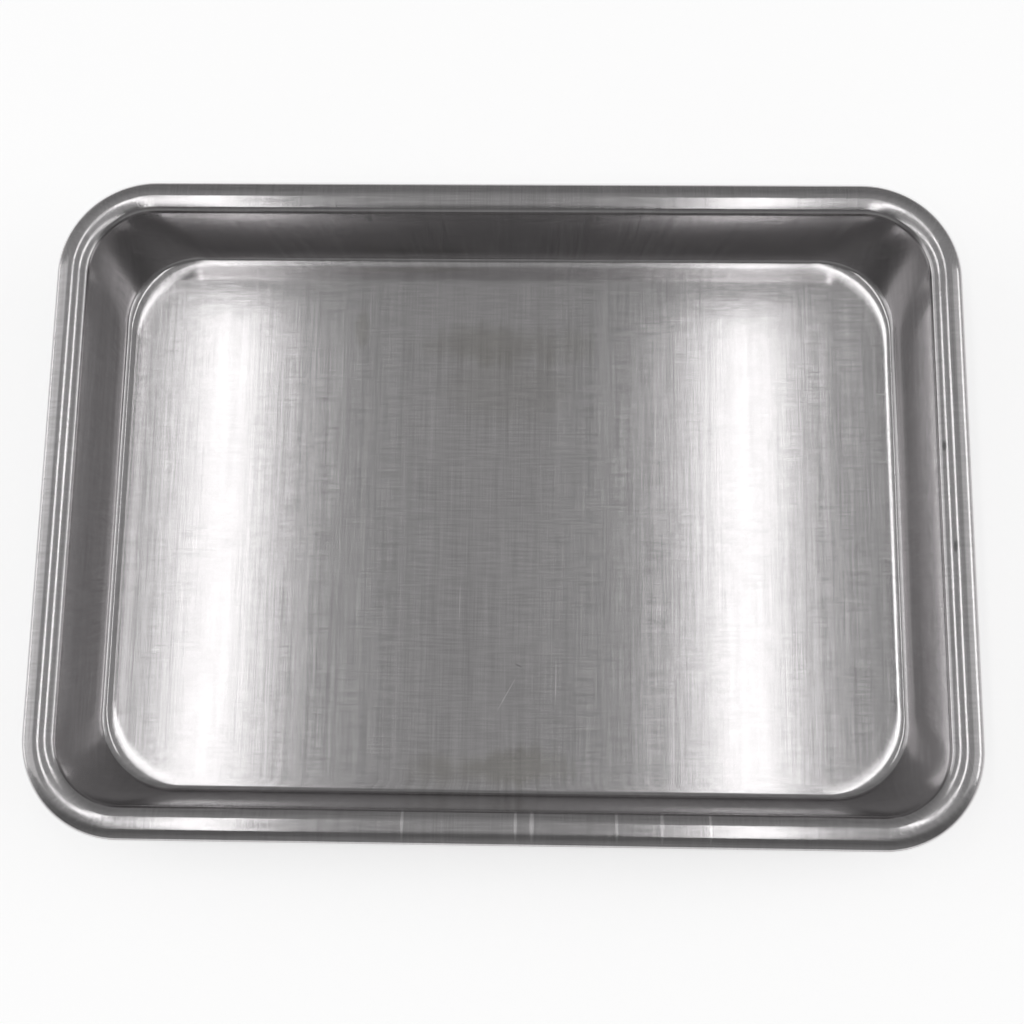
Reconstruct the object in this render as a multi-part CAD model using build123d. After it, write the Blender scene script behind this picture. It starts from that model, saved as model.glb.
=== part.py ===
# Small baking tray drawn from one sheet of brushed steel, with a rolled rim.
# Millimetres, +Z up. The origin is the middle of the underside, so the tray
# stands on z = 0. The long side runs along X.
from build123d import *
from math import atan2, cos, radians, sin
import os

# overall sizes
length = 236.0            # over the rolled rim
width = 170.0             # over the rolled rim
height = 28.0             # underside of the floor to the top of the rim

# sheet and rolled rim
sheet = 0.6               # one gauge everywhere
roll_width = 8.4          # outside of the roll, seen from above
crown_radius = 6.5        # the roll's flattened top
crown_half_angle = 30.0   # degrees of that top to each side of upright
curl_radius = 2.5         # the edge's curl under the outer side
curl_past_side = 118.0    # degrees the edge curls on past the outermost point
rim_corner = 25.2         # plan radius of the rim's outline at the corners

# walls, all taken on the inside face of the sheet
wall_lean = 2.7           # how far a wall comes in between the roll and its foot
lean_start = 3.0          # height over which the upright wall starts to lean
foot_corner = 20.8        # plan radius of the corner at the foot of the wall
floor_fillet = 3.2        # radius between wall and floor along the sides
floor_corner = 23.6       # plan radius of the flat floor's corner

# smoothness of the drawn walls
fillet_steps = 6
wall_steps = 3

# worked out from the sizes above
roll_half = roll_width / 2
crown_sin = sin(radians(crown_half_angle))
crown_cos = cos(radians(crown_half_angle))
side_radius = (roll_half - crown_radius * crown_sin) / (1 - crown_sin)
crown_rise = crown_radius * (1 - crown_cos) + side_radius * crown_cos
wall_top_z = height - crown_rise
floor_z = sheet
foot_z = floor_z + floor_fillet
wall_drop = wall_top_z - foot_z
lean_slope = wall_lean / (wall_drop - lean_start / 2)
lean_angle = atan2(lean_slope, 1)
wall_top_corner = rim_corner - roll_width
corner_slope = (foot_corner - wall_top_corner) / (wall_drop - lean_start / 2)


def lean_at(drop):
    """How much of the slope's full run is taken at this drop below the roll."""
    if drop < lean_start:
        return drop * drop / (2 * lean_start)
    return drop - lean_start / 2


def inside_stations():
    """Stations down the inside face: inset from the rim's outline, plan radius
    of the corner, height, and the face's normal as (inward, upward)."""
    stations = []
    drops = [0, lean_start / 2, lean_start]
    drops += [lean_start + (wall_drop - lean_start) * (k + 1) / wall_steps
              for k in range(wall_steps - 1)]
    for drop in drops:
        tilt = lean_angle * min(drop / lean_start, 1)
        stations.append((roll_width + lean_slope * lean_at(drop),
                         wall_top_corner + corner_slope * lean_at(drop),
                         wall_top_z - drop, cos(tilt), sin(tilt)))
    # the fillet starts where its arc is tangent to the leaning wall
    arc_x = roll_width + wall_lean + floor_fillet / cos(lean_angle)
    arc_x -= floor_fillet * sin(lean_angle) * lean_slope
    corner_left = floor_corner - foot_corner - corner_slope * floor_fillet
    for k in range(fillet_steps + 1):
        turn = lean_angle + (radians(90) - lean_angle) * k / fillet_steps
        sunk = sin(turn) - sin(lean_angle)
        grown = foot_corner + corner_slope * floor_fillet * sunk
        grown += corner_left * (1 - cos(turn - lean_angle))
        stations.append((arc_x - floor_fillet * cos(turn), grown,
                         foot_z - floor_fillet * sin(turn),
                         cos(turn), sin(turn)))
    return stations


def outline(inset, corner, z):
    """A rounded rectangle inset from the rim's outline, at height z."""
    return Pos(0, 0, z) * RectangleRounded(length - 2 * inset, width - 2 * inset, corner)


def drawn_form(grow):
    """The solid inside the drawn walls, with its faces moved out by grow."""
    sections = [outline(inset - grow * inward, corner + grow * inward, z - grow * upward)
                for inset, corner, z, inward, upward in inside_stations()]
    return loft(sections)


def rolled_rim():
    """The rim: the sheet bent over from the wall, flattened on top and curled
    back underneath. Four arcs, each tangent to the next."""
    middle = Pos(length / 2 - roll_half, 0, wall_top_z)
    arcs = [  # centre across, centre up, radius, from, to
        (side_radius - roll_half, 0, side_radius, 180, 90 + crown_half_angle),
        (0, crown_rise - crown_radius, crown_radius, 90 + crown_half_angle, 90 - crown_half_angle),
        (roll_half - side_radius, 0, side_radius, 90 - crown_half_angle, 0),
        (roll_half - curl_radius, 0, curl_radius, 0, -curl_past_side),
    ]

    def on_arc(across, up, radius, angle):
        return across + radius * cos(radians(angle)), up + radius * sin(radians(angle))

    def face_line(inwards):
        return [ThreePointArc(on_arc(across, up, radius - inwards, start),
                              on_arc(across, up, radius - inwards, (start + end) / 2),
                              on_arc(across, up, radius - inwards, end))
                for across, up, radius, start, end in arcs]

    outer, inner = face_line(0), face_line(sheet)
    section = make_face(outer + inner + [Line(outer[0] @ 0, inner[0] @ 0),
                                         Line(outer[-1] @ 1, inner[-1] @ 1)])
    path = outline(roll_half, rim_corner - roll_half, wall_top_z).wire()
    return sweep(middle * Rot(90, 0, 0) * section, path=path)


def tray():
    pan = drawn_form(sheet) - drawn_form(0)
    return pan + rolled_rim()


os.makedirs("parts", exist_ok=True)
body = tray()
export_step(body, "parts/tray.step")
print("solids", len(body.solids()), "volume", round(body.volume, 1))
print("box", body.bounding_box())
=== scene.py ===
import math

import bmesh
import bpy
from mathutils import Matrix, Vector, noise


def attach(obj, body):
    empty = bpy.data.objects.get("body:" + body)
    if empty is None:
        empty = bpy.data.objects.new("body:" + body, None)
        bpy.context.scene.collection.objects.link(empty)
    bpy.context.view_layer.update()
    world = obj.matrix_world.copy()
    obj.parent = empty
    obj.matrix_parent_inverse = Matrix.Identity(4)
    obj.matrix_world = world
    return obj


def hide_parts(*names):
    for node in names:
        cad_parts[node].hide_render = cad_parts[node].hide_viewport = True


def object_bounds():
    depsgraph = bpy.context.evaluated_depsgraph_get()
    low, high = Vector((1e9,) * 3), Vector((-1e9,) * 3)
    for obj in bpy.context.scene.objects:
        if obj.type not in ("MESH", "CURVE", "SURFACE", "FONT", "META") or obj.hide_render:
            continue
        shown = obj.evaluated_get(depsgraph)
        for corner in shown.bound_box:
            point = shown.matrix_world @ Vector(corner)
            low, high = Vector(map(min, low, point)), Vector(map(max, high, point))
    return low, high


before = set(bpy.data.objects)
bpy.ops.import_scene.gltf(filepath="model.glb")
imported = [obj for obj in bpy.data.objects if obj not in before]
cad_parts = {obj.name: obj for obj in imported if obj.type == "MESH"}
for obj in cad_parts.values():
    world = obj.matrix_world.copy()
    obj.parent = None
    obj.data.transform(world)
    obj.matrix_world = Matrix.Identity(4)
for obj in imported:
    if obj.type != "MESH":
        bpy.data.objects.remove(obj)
cadLow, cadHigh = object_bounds()
print("frame loaded, tray size", [round(v, 4) for v in cadHigh - cadLow])

# ---- node helpers, shared by the materials and the world


def plug(tree, socket, value):
    if isinstance(value, bpy.types.NodeSocket):
        tree.links.new(value, socket)
    else:
        socket.default_value = value


def addNode(tree, kind, inputs=None, **settings):
    node = tree.nodes.new(kind)
    for name, value in settings.items():
        setattr(node, name, value)
    for key, value in (inputs or {}).items():
        plug(tree, node.inputs[key], value)
    return node


def maths(tree, operation, first, second=0.0):
    return addNode(tree, "ShaderNodeMath", {0: first, 1: second}, operation=operation).outputs[0]


def ramp(tree, value, low, high, toLow=0.0, toHigh=1.0):
    inputs = {0: value, 1: low, 2: high, 3: toLow, 4: toHigh}
    return addNode(tree, "ShaderNodeMapRange", inputs, interpolation_type="SMOOTHSTEP").outputs[0]


def total(tree, terms):
    answer = terms[0]
    for term in terms[1:]:
        answer = maths(tree, "ADD", answer, term)
    return answer


# ---- the pressed tray, metres and degrees

tray = {
    "sheet": 0.0006,         # gauge
    "rollWidth": 0.0084,
    "crownRadius": 0.0065,   # the roll's flattened top, and its half angle
    "crownAngle": 30.0,
    "curlRadius": 0.0025,
    "curlPastSide": 118.0,   # how far the edge curls on past the outermost point
    "rimCorner": 0.0252,     # plan radii: rim, foot of the wall, flat of the floor
    "footCorner": 0.0208,
    "floorCorner": 0.0236,
    "wallLean": 0.0027,      # how far the wall comes in by its foot
    "footLean": 10.5,        # and how steeply it leans there
    "floorBend": 0.0019,     # radius of the tight bend at the foot
    "dishWidth": 0.0018,     # the slow start of that bend
    "dishSlope": 8.0,
    "cornerCuts": 12,        # faces to each half corner
    "longCuts": 30,
    "shortCuts": 22,
    "dishSteps": 6,
    "bendSteps": 12,
    "wallSteps": 12,
    "rollStep": 5.5,         # degrees
    "waveHeight": 0.00009,   # the floor is not dead flat
    "waveLength": 0.055,
    "waveStretch": 0.7,      # waves are this much slower along the short side
    "waveSeed": 0.3,
    "waveMargin": 0.02,      # no waves this near the rim's outline, full ones as far again inside
    "creaseAngle": 50,       # edges sharper than this are shaded as edges
    "blankSpan": 0.5,        # length of sheet that the map's 0 to 1 stands for
}


def rollArcs():
    # centre across, centre up, radius, first and last angle of each arc round the roll
    half = tray["rollWidth"] / 2
    crown = math.radians(tray["crownAngle"])
    crownSin, crownCos = math.sin(crown), math.cos(crown)
    side = (half - tray["crownRadius"] * crownSin) / (1 - crownSin)
    rise = tray["crownRadius"] * (1 - crownCos) + side * crownCos
    shoulder = 90 + tray["crownAngle"]
    arcs = [
        (side - half, 0, side, 180, shoulder),
        (0, rise - tray["crownRadius"], tray["crownRadius"], shoulder, 180 - shoulder),
        (half - side, 0, side, 180 - shoulder, 0),
        (half - tray["curlRadius"], 0, tray["curlRadius"], 0, -tray["curlPastSide"]),
    ]
    return arcs, rise


def bendPath():
    # run and rise from the flat floor to the foot of the wall: a slow start, then a tight bend
    start, bend = math.radians(tray["dishSlope"]), tray["floorBend"]
    steep = math.pi / 2 - math.radians(tray["footLean"])
    dish = tray["dishWidth"] / math.sin(start)
    path = []
    for k in range(tray["dishSteps"] + 1):
        slope = start * k / tray["dishSteps"]
        path.append((dish * math.sin(slope), dish * (1 - math.cos(slope))))
    run, rise = path[-1]
    for k in range(1, tray["bendSteps"] + 1):
        slope = start + (steep - start) * k / tray["bendSteps"]
        path.append((run + bend * (math.sin(slope) - math.sin(start)),
                     rise + bend * (math.cos(start) - math.cos(slope))))
    return path


def wallStations():
    # inset, corner radius and height of each line round the tray, from the floor's edge to the curl's end
    arcs, crownRise = rollArcs()
    topZ = cadHigh.z - crownRise
    topCorner = tray["rimCorner"] - tray["rollWidth"]
    foot = tray["rollWidth"] + tray["wallLean"]
    path = bendPath()
    fullRun, fullRise = path[-1]
    stations = []
    for run, rise in path:
        corner = tray["footCorner"] + (tray["floorCorner"] - tray["footCorner"]) * (1 - run / fullRun)
        stations.append((foot + fullRun - run, corner, tray["sheet"] + rise))
    # wall: upright under the roll, leaning in more towards its foot
    drop = topZ - tray["sheet"] - fullRise
    power = drop * math.tan(math.radians(tray["footLean"])) / tray["wallLean"]
    for k in range(tray["wallSteps"] - 1, 0, -1):
        share = (k / tray["wallSteps"]) ** power
        corner = topCorner + (tray["footCorner"] - topCorner) * share
        inset = tray["rollWidth"] + tray["wallLean"] * share
        stations.append((inset, corner, topZ - drop * k / tray["wallSteps"]))
    for across, up, radius, first, last in arcs:
        steps = max(3, round(abs(first - last) / tray["rollStep"]))
        begin = 0 if across < 0 else 1
        for k in range(begin, steps + 1):
            turn = math.radians(first + (last - first) * k / steps)
            out = tray["rollWidth"] / 2 - across - radius * math.cos(turn)
            stations.append((out, tray["rimCorner"] - out, topZ + up + radius * math.sin(turn)))
    return stations


def gridLines(straightCuts, half, corner):
    # even along the straight, even in angle round the corner
    cuts = tray["cornerCuts"]
    straight = half - corner
    ends = [straight + corner * math.tan(math.pi / 4 * k / cuts) for k in range(cuts + 1)]
    middle = [straight * (2 * k / straightCuts - 1) for k in range(1, straightCuts)]
    return [-v for v in reversed(ends)] + middle + ends


def unevenness(place):
    # height of the floor's slow waves, nothing at its edge and never below the true floor
    margin = tray["waveMargin"]
    edge = min(cadHigh.x - abs(place.x), cadHigh.y - abs(place.y)) - margin
    fade = max(0.0, min(1.0, edge / margin))
    spot = Vector((place.x, place.y * tray["waveStretch"], tray["waveSeed"]))
    wave = noise.noise(spot / tray["waveLength"])
    return tray["waveHeight"] * fade * fade * (0.5 + 0.5 * wave)


def buildTray():
    halfX, halfY = cadHigh.x, cadHigh.y
    stations = wallStations()
    inset, corner, floorZ = stations[0]
    linesX = gridLines(tray["longCuts"], halfX - inset, corner)
    linesY = gridLines(tray["shortCuts"], halfY - inset, corner)
    straightX, straightY = halfX - inset - corner, halfY - inset - corner
    mesh = bmesh.new()
    bmesh.ops.create_grid(mesh, x_segments=len(linesX) - 1, y_segments=len(linesY) - 1, size=1)
    blank = {}   # where each vertex lay on the flat sheet
    edge = {}    # each edge vertex's place along the straight runs, and the way it faces
    for v in mesh.verts:
        x = linesX[round((v.co.x + 1) / 2 * (len(linesX) - 1))]
        y = linesY[round((v.co.y + 1) / 2 * (len(linesY) - 1))]
        s, t = (abs(x) - straightX) / corner, (abs(y) - straightY) / corner
        if s > 0 and t > 0:  # draw the square corner in to a round one
            pull = max(s, t) / math.hypot(s, t)
            x = math.copysign(straightX + corner * s * pull, x)
            y = math.copysign(straightY + corner * t * pull, y)
        v.co = (x, y, floorZ)
        blank[v] = v.co.xy.copy()
        if v.is_boundary:
            facing = Vector((max(s, 0), max(t, 0))).normalized()
            facing = Vector((math.copysign(facing.x, x), math.copysign(facing.y, y)))
            along = Vector((max(-1, min(1, x / straightX)), max(-1, min(1, y / straightY))))
            edge[v] = (along, facing)
        v.co.z += unevenness(v.co)
    run = 0.0
    for before, (inset, corner, z) in zip(stations, stations[1:]):
        run += math.hypot(inset - before[0], z - before[2])
        rim = [e for e in mesh.edges if e.is_boundary]
        made = bmesh.ops.extrude_edge_only(mesh, edges=rim)["geom"]
        nextEdge = {}
        for v in [g for g in made if isinstance(g, bmesh.types.BMVert)]:
            inner = next(e.other_vert(v) for e in v.link_edges if e.other_vert(v) in edge)
            along, facing = edge[inner]
            v.co.x = along.x * (halfX - inset - corner) + facing.x * corner
            v.co.y = along.y * (halfY - inset - corner) + facing.y * corner
            v.co.z = z
            blank[v] = Vector((along.x * straightX, along.y * straightY))
            blank[v] += facing * (stations[0][1] + run)
            nextEdge[v] = (along, facing)
        edge = nextEdge
    bmesh.ops.recalc_face_normals(mesh, faces=mesh.faces)
    middle = min(mesh.faces, key=lambda f: f.calc_center_median().length)
    if middle.normal.z < 0:
        bmesh.ops.reverse_faces(mesh, faces=mesh.faces)
    sheetMap = mesh.loops.layers.uv.new("sheetMap")
    for f in mesh.faces:
        f.smooth = True
        for loop in f.loops:
            loop[sheetMap].uv = blank[loop.vert] / tray["blankSpan"] + Vector((0.5, 0.5))
    bmesh.ops.solidify(mesh, geom=mesh.faces[:], thickness=tray["sheet"])
    data = bpy.data.meshes.new("trayPressing")
    mesh.to_mesh(data)
    mesh.free()
    data.set_sharp_from_angle(angle=math.radians(tray["creaseAngle"]))
    piece = bpy.data.objects.new("trayPressing", data)
    bpy.context.scene.collection.objects.link(piece)
    return piece


# ---- brushed steel; sizes in millimetres on the flat sheet

steel = {
    "tone": (0.53, 0.516, 0.521, 1),
    "roughness": 0.145,
    "acrossGrain": 0.6,        # anisotropy: rougher across the grain
    "hair": (0.34, 17.0),      # width and length of the finest grain lines
    "band": (1.8, 90.0),
    "ply": (9.0, 0.5),         # faint lines the other way
    "dapple": (7.0, 4.5),      # slow unevenness left by drawing the sheet
    "cloud": (26.0, 30.0),
    "hairShade": 0.22,
    "bandShade": 0.12,
    "plyShade": 0.25,
    "dappleShade": 0.05,
    "cloudShade": 0.10,
    "hairRough": 0.05,
    "bandRough": 0.04,
    "plyRough": 0.025,
    "relief": 0.0000028,       # metres, height of the grain
    "bandRelief": 2.0,         # as shares of that
    "plyRelief": 0.6,
    "dappleRelief": 4.0,
    "markRough": 0.05,
    "markFade": (0.35, 1.15),  # share of a mark's size where it starts to fade and where it ends
    "markRagged": (1.6, 0.5),  # how far cloud and band disturb its outline
    "thinLineFade": (0.3, 1.0),
    "tint": (0.38, 0.368, 0.355, 1),
    # heat marks and stains on the floor, and a thin darker line along part of its far edge: centre, half
    # size, strength
    "marks": [
        ((-4.0, 49.0), (24.0, 7.0), 0.85),
        ((-3.0, 36.0), (17.0, 14.0), 0.45),
        ((-1.0, -67.0), (24.0, 5.5), 1.1),
        ((-41.0, 53.0), (2.2, 5.5), 0.7),
        # a thin darker line along part of the floor's far edge, in the bend
        ((-23.0, 70.5), (21.0, 0.9), 0.55),
    ],
    # scratches on the floor, painted highlights across the near rim's top, and specks: centre, half width and
    # length, turn in degrees, how much brighter
    "scratchesAndRimHighlights": [
        ((1.0, -47.5), (0.22, 6.6), 29.0, 0.30),
        ((4.0, -40.0), (0.3, 1.3), -65.0, -0.30),
        ((14.0, -43.5), (0.2, 8.0), 0.0, 0.35),
        ((-12.0, -23.5), (0.2, 7.0), 0.0, 0.30),
        ((-46.0, 41.0), (0.2, 11.0), 0.0, 0.25),
        # painted highlights: bright strokes across the near rim's top
        ((-20.0, -102.0), (0.5, 5.5), 0.0, 0.45),
        ((3.6, -102.0), (0.5, 5.5), 0.0, 0.55),
        ((7.0, -102.0), (0.7, 5.5), 0.0, 0.60),
        ((24.6, -102.0), (0.5, 5.5), 0.0, 0.40),
        ((34.0, -102.0), (0.6, 5.5), 0.0, 0.45),
        ((44.0, -102.0), (0.5, 5.5), 0.0, 0.35),
        ((133.6, 11.6), (0.8, 1.4), 0.0, -0.45),
        ((135.2, -8.4), (0.8, 1.6), 0.0, -0.40),
    ],
    "floorHalf": (103.5, 70.5),    # half the flat floor's length and width
    "wallSpan": (3.0, 24.0),   # past the floor's edge; the wall is a little rougher than the rest
    "wallBlend": 2.0,
    "wallRough": 0.07,
}


def sheetPlaces(tree):
    flat = addNode(tree, "ShaderNodeUVMap", uv_map="sheetMap").outputs[0]
    span = tray["blankSpan"] * 1000
    inputs = {0: flat, "Scale": (span, span, 1), "Location": (-span / 2, -span / 2, 0)}
    return addNode(tree, "ShaderNodeMapping", inputs).outputs[0]


def grain(tree, places, size, detail=2.0, shift=0.0):
    # soft noise about nothing, drawn out to the given width and length; a shift picks another stretch of it
    inputs = {0: places, "Scale": (1 / size[0], 1 / size[1], 1), "Location": (shift, shift, 0)}
    stretched = addNode(tree, "ShaderNodeMapping", inputs).outputs[0]
    pattern = addNode(tree, "ShaderNodeTexNoise", {"Vector": stretched, "Scale": 1.0, "Detail": detail},
                      noise_dimensions="2D")
    return maths(tree, "SUBTRACT", pattern.outputs[0], 0.5)


def spread(tree, places, centre, size, turn=0.0):
    # distance from a spot's centre, one at its edge
    centred = addNode(tree, "ShaderNodeMapping", {0: places, "Location": (-centre[0], -centre[1], 0)})
    inputs = {0: centred.outputs[0], "Rotation": (0, 0, math.radians(turn))}
    turned = addNode(tree, "ShaderNodeMapping", inputs)
    sized = addNode(tree, "ShaderNodeMapping", {0: turned.outputs[0], "Scale": (1 / size[0], 1 / size[1], 0)})
    return addNode(tree, "ShaderNodeVectorMath", {0: sized.outputs[0]}, operation="LENGTH").outputs["Value"]


def mark(tree, places, rough, centre, size, strength):
    # a soft spot with a ragged outline
    ragged = maths(tree, "ADD", spread(tree, places, centre, size), rough)
    return ramp(tree, ragged, *steel["markFade"], strength, 0.0)


def thinLine(tree, places, centre, size, turn, strength):
    # a thin straight line that fades out at its ends and sides, for the scratches and for the painted
    # highlights on the near rim
    return ramp(tree, spread(tree, places, centre, size, turn), *steel["thinLineFade"], strength, 0.0)


def wallShare(tree, places):
    # one on the wall, nothing on the floor and the rim
    split = addNode(tree, "ShaderNodeSeparateXYZ", {0: places})
    beyond = [maths(tree, "SUBTRACT", maths(tree, "ABSOLUTE", split.outputs[k]), steel["floorHalf"][k])
              for k in range(2)]
    beyond = maths(tree, "MAXIMUM", *beyond)
    first, last = steel["wallSpan"]
    blend = steel["wallBlend"]
    begun = ramp(tree, beyond, first - blend, first + blend)
    ended = ramp(tree, beyond, last - blend, last + blend, 1.0, 0.0)
    return maths(tree, "MULTIPLY", begun, ended)


def steelMaterial():
    material = bpy.data.materials.new("brushedSteel")
    material.use_nodes = True
    tree = material.node_tree
    shader = tree.nodes["Principled BSDF"]
    places = sheetPlaces(tree)
    hair = grain(tree, places, steel["hair"], 3.0)
    band = grain(tree, places, steel["band"], 2.0, shift=7.0)
    ply = grain(tree, places, steel["ply"], 2.0, shift=3.0)
    dapple = grain(tree, places, steel["dapple"], 2.0, shift=5.0)
    cloud = grain(tree, places, steel["cloud"], 3.0, shift=11.0)
    # brightness changes from the grain, the scratches and specks, and the painted highlights on the near rim
    shade = total(tree, [
        maths(tree, "MULTIPLY", hair, steel["hairShade"]),
        maths(tree, "MULTIPLY", band, steel["bandShade"]),
        maths(tree, "MULTIPLY", ply, steel["plyShade"]),
        maths(tree, "MULTIPLY", dapple, steel["dappleShade"]),
        maths(tree, "MULTIPLY", cloud, steel["cloudShade"]),
    ] + [thinLine(tree, places, *line) for line in steel["scratchesAndRimHighlights"]])
    byCloud, byBand = steel["markRagged"]
    ragged = total(tree, [maths(tree, "MULTIPLY", cloud, byCloud), maths(tree, "MULTIPLY", band, byBand)])
    tinted = total(tree, [mark(tree, places, ragged, *spot) for spot in steel["marks"]])
    tinted = maths(tree, "MINIMUM", tinted, 1.0)
    colour = addNode(tree, "ShaderNodeMix", {0: tinted, 6: steel["tone"], 7: steel["tint"]}, data_type="RGBA")
    bright = maths(tree, "ADD", shade, 1.0)
    shaded = addNode(tree, "ShaderNodeVectorMath", {0: colour.outputs[2], "Scale": bright}, operation="SCALE")
    plug(tree, shader.inputs["Base Color"], shaded.outputs[0])
    roughness = total(tree, [
        maths(tree, "MULTIPLY", hair, steel["hairRough"]),
        maths(tree, "MULTIPLY", band, steel["bandRough"]),
        maths(tree, "MULTIPLY", ply, steel["plyRough"]),
        maths(tree, "MULTIPLY", tinted, steel["markRough"]),
        maths(tree, "MULTIPLY", wallShare(tree, places), steel["wallRough"]),
    ])
    plug(tree, shader.inputs["Roughness"], maths(tree, "ADD", roughness, steel["roughness"]))
    height = total(tree, [
        hair,
        maths(tree, "MULTIPLY", band, steel["bandRelief"]),
        maths(tree, "MULTIPLY", ply, steel["plyRelief"]),
        maths(tree, "MULTIPLY", dapple, steel["dappleRelief"]),
    ])
    bump = addNode(tree, "ShaderNodeBump", {"Height": height, "Distance": steel["relief"], "Strength": 1.0})
    plug(tree, shader.inputs["Normal"], bump.outputs[0])
    shader.inputs["Metallic"].default_value = 1.0
    shader.inputs["Anisotropic"].default_value = steel["acrossGrain"]
    tangent = addNode(tree, "ShaderNodeTangent", direction_type="UV_MAP", uv_map="sheetMap")
    plug(tree, shader.inputs["Tangent"], tangent.outputs[0])
    return material


piece = buildTray()
piece.data.materials.append(steelMaterial())
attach(piece, "root")
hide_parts("tray")
print("tray modelled,", len(piece.data.polygons), "faces")

# ---- studio

studio = {
    "floorHalf": 6,
    "floorTone": (0.9, 0.9, 0.9, 1),
    "floorRough": 0.9,
    "shadowReach": 0.014,    # the glow fades this near the tray, so that its shadow stays
    "shadowPower": 2.0,
    "floorGlow": 0.55,       # lifts the floor to white for the eye and in reflections
    "overhead": 0.36,        # plain light from the room
    "nearDark": 0.16,        # the side the viewer stands on
    "nearGlow": 0.12,        # added again low down on that side
    "farDark": 0.24,
    "sideGlow": 0.3,         # added towards the horizon on the left and right
    "nearSpan": (-0.5, -0.2),        # where each of these starts and ends, as a unit direction's
    "nearGlowSpan": (-0.95, -0.6),   # part along the short side, or for sideSpan the long side
    "farSpan": (0.42, 0.8),
    "sideSpan": (0.8, 1.0),
    "lampDistance": 1.3,
}

lamps = {
    # degrees from overhead, width, length, shift along the short side, radiance
    "leftTube": (-17.6, 0.06, 1.2, -0.1, 4.5),
    "rightTube": (11.8, 0.06, 1.2, -0.1, 4.5),
    "leftWindow": (-56.0, 0.75, 0.9, 0.1, 0.45),
    "rightWindow": (56.0, 0.75, 0.9, 0.1, 0.32),
    "leftLow": (-81.0, 0.09, 0.9, 0.1, 2.5),
    "rightLow": (67.0, 0.09, 0.9, 0.1, 2.5),
}


def buildFloor():
    mesh = bmesh.new()
    bmesh.ops.create_grid(mesh, x_segments=1, y_segments=1, size=studio["floorHalf"])
    data = bpy.data.meshes.new("studioFloor")
    mesh.to_mesh(data)
    mesh.free()
    floor = bpy.data.objects.new("studioFloor", data)
    bpy.context.scene.collection.objects.link(floor)
    material = bpy.data.materials.new("studioFloor")
    material.use_nodes = True
    tree = material.node_tree
    shader = tree.nodes["Principled BSDF"]
    shader.inputs["Base Color"].default_value = studio["floorTone"]
    shader.inputs["Roughness"].default_value = studio["floorRough"]
    shader.inputs["Specular IOR Level"].default_value = 0.0
    shader.inputs["Emission Color"].default_value = (1, 1, 1, 1)
    path = addNode(tree, "ShaderNodeLightPath")
    seen = maths(tree, "MAXIMUM", path.outputs["Is Camera Ray"], path.outputs["Is Glossy Ray"])
    seen = maths(tree, "MAXIMUM", seen, path.outputs["Is Transmission Ray"])
    clear = addNode(tree, "ShaderNodeAmbientOcclusion", {"Distance": studio["shadowReach"]}, samples=8)
    clear = maths(tree, "POWER", clear.outputs["AO"], studio["shadowPower"])
    glow = maths(tree, "MULTIPLY", maths(tree, "MULTIPLY", seen, clear), studio["floorGlow"])
    plug(tree, shader.inputs["Emission Strength"], glow)
    data.materials.append(material)


def buildLamp(name, angle, width, length, shift, radiance):
    light = bpy.data.lights.new(name, "AREA")
    light.shape = "RECTANGLE"
    light.size = width
    light.size_y = length
    light.energy = radiance * math.pi * width * length
    lamp = bpy.data.objects.new(name, light)
    turn = math.radians(angle)
    lamp.location = (studio["lampDistance"] * math.sin(turn), shift, studio["lampDistance"] * math.cos(turn))
    lamp.rotation_euler = (0, turn, 0)
    lamp.visible_camera = False
    bpy.context.scene.collection.objects.link(lamp)


def buildWorld():
    world = bpy.data.worlds.new("studioRoom")
    world.use_nodes = True
    tree = world.node_tree
    way = addNode(tree, "ShaderNodeTexCoord").outputs["Generated"]
    split = addNode(tree, "ShaderNodeSeparateXYZ", {0: way})
    near = ramp(tree, split.outputs[1], *studio["nearSpan"], studio["nearDark"] - studio["overhead"], 0.0)
    beyond = ramp(tree, split.outputs[1], *studio["nearGlowSpan"], studio["nearGlow"], 0.0)
    far = ramp(tree, split.outputs[1], *studio["farSpan"], 0.0, studio["farDark"] - studio["overhead"])
    sideways = maths(tree, "ABSOLUTE", split.outputs[0])
    side = ramp(tree, sideways, *studio["sideSpan"], 0.0, studio["sideGlow"])
    room = total(tree, [near, beyond, far, side, studio["overhead"]])
    plug(tree, tree.nodes["Background"].inputs["Color"], (1, 1, 1, 1))
    plug(tree, tree.nodes["Background"].inputs["Strength"], room)
    bpy.context.scene.world = world


buildFloor()
for name, spec in lamps.items():
    buildLamp(name, *spec)
buildWorld()
print("studio set")

# ---- camera

view = {
    "place": (0.00986, -0.05995, 0.3506),
    "turn": (9.978, 1.195, 0.775),
    "lens": 45.925,
}
camera = bpy.data.objects.new("camera", bpy.data.cameras.new("camera"))
camera.data.lens = view["lens"]
camera.location = view["place"]
camera.rotation_euler = [math.radians(v) for v in view["turn"]]
bpy.context.scene.collection.objects.link(camera)
bpy.context.scene.camera = camera
bpy.context.scene.view_settings.view_transform = "Standard"
